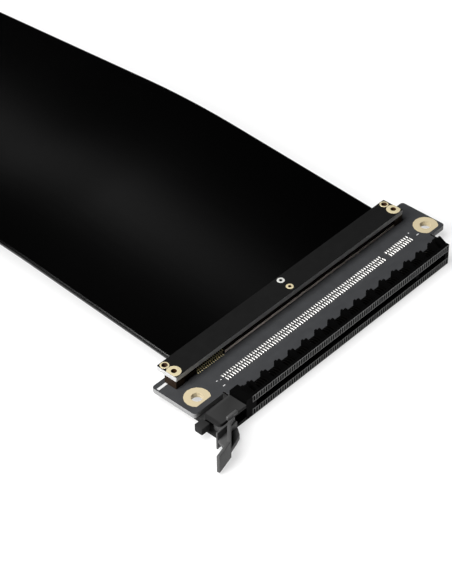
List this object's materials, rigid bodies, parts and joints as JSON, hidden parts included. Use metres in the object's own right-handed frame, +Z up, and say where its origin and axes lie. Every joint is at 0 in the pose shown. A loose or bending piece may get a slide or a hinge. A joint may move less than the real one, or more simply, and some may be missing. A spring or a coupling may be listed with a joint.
{
  "type": "gpu riser cable",
  "caption": "Black riser cable: a keyed expansion card slot with a retention latch on a flat board, a wide flat glossy cable and a plug board with the matching card tongue.",
  "frame": {"origin": "centre of the bounding box in plan, on the plane it stands on", "axes": "+X along the slot toward its key end, +Y from the slot to the plug, +Z up"},
  "size_m": [0.1262, 0.2628, 0.0114],
  "materials": {
    "board": "satin dark solder mask",
    "strip": "satin black solder mask",
    "housing": "moulded black",
    "latch": "moulded dark grey",
    "connector": "moulded black",
    "sheath": "smooth glossy black",
    "signal": "flat laminated cable",
    "gold": "thin gold plating",
    "tin": "tinned"
  },
  "bodies": {
    "riser": {"main_board": "board", "left_mount_eyelet": "gold", "right_mount_eyelet": "gold", "slot_housing": "housing", "slot_board_socket": "connector", "slot_strip_plug": "connector", "slot_strip": "strip", "slot_large_eyelet_left": "gold", "slot_large_eyelet_right": "gold", "slot_small_eyelet_left": "gold", "slot_small_eyelet_right": "gold", "slot_middle_eyelet_front": "gold", "slot_middle_eyelet_back": "tin", "cable_sheath": "sheath", "upper_signal_cable": "signal", "lower_signal_cable": "signal", "plug_board": "board", "plug_board_socket": "connector", "plug_strip_plug": "connector", "plug_strip": "strip", "plug_large_eyelet_left": "gold", "plug_large_eyelet_right": "gold", "plug_small_eyelet_left": "gold", "plug_small_eyelet_right": "gold", "plug_middle_eyelet_front": "gold", "plug_middle_eyelet_back": "tin"},
    "latch": {"slot_latch": "latch"}
  },
  "joints": [
    {"name": "latch_pivot", "type": "hinge", "parent": "riser", "child": "latch", "pos_m": [-0.04565, -0.1158, 0.0037], "axis": [0, 0, -1], "range_deg": [0, 20]}
  ]
}
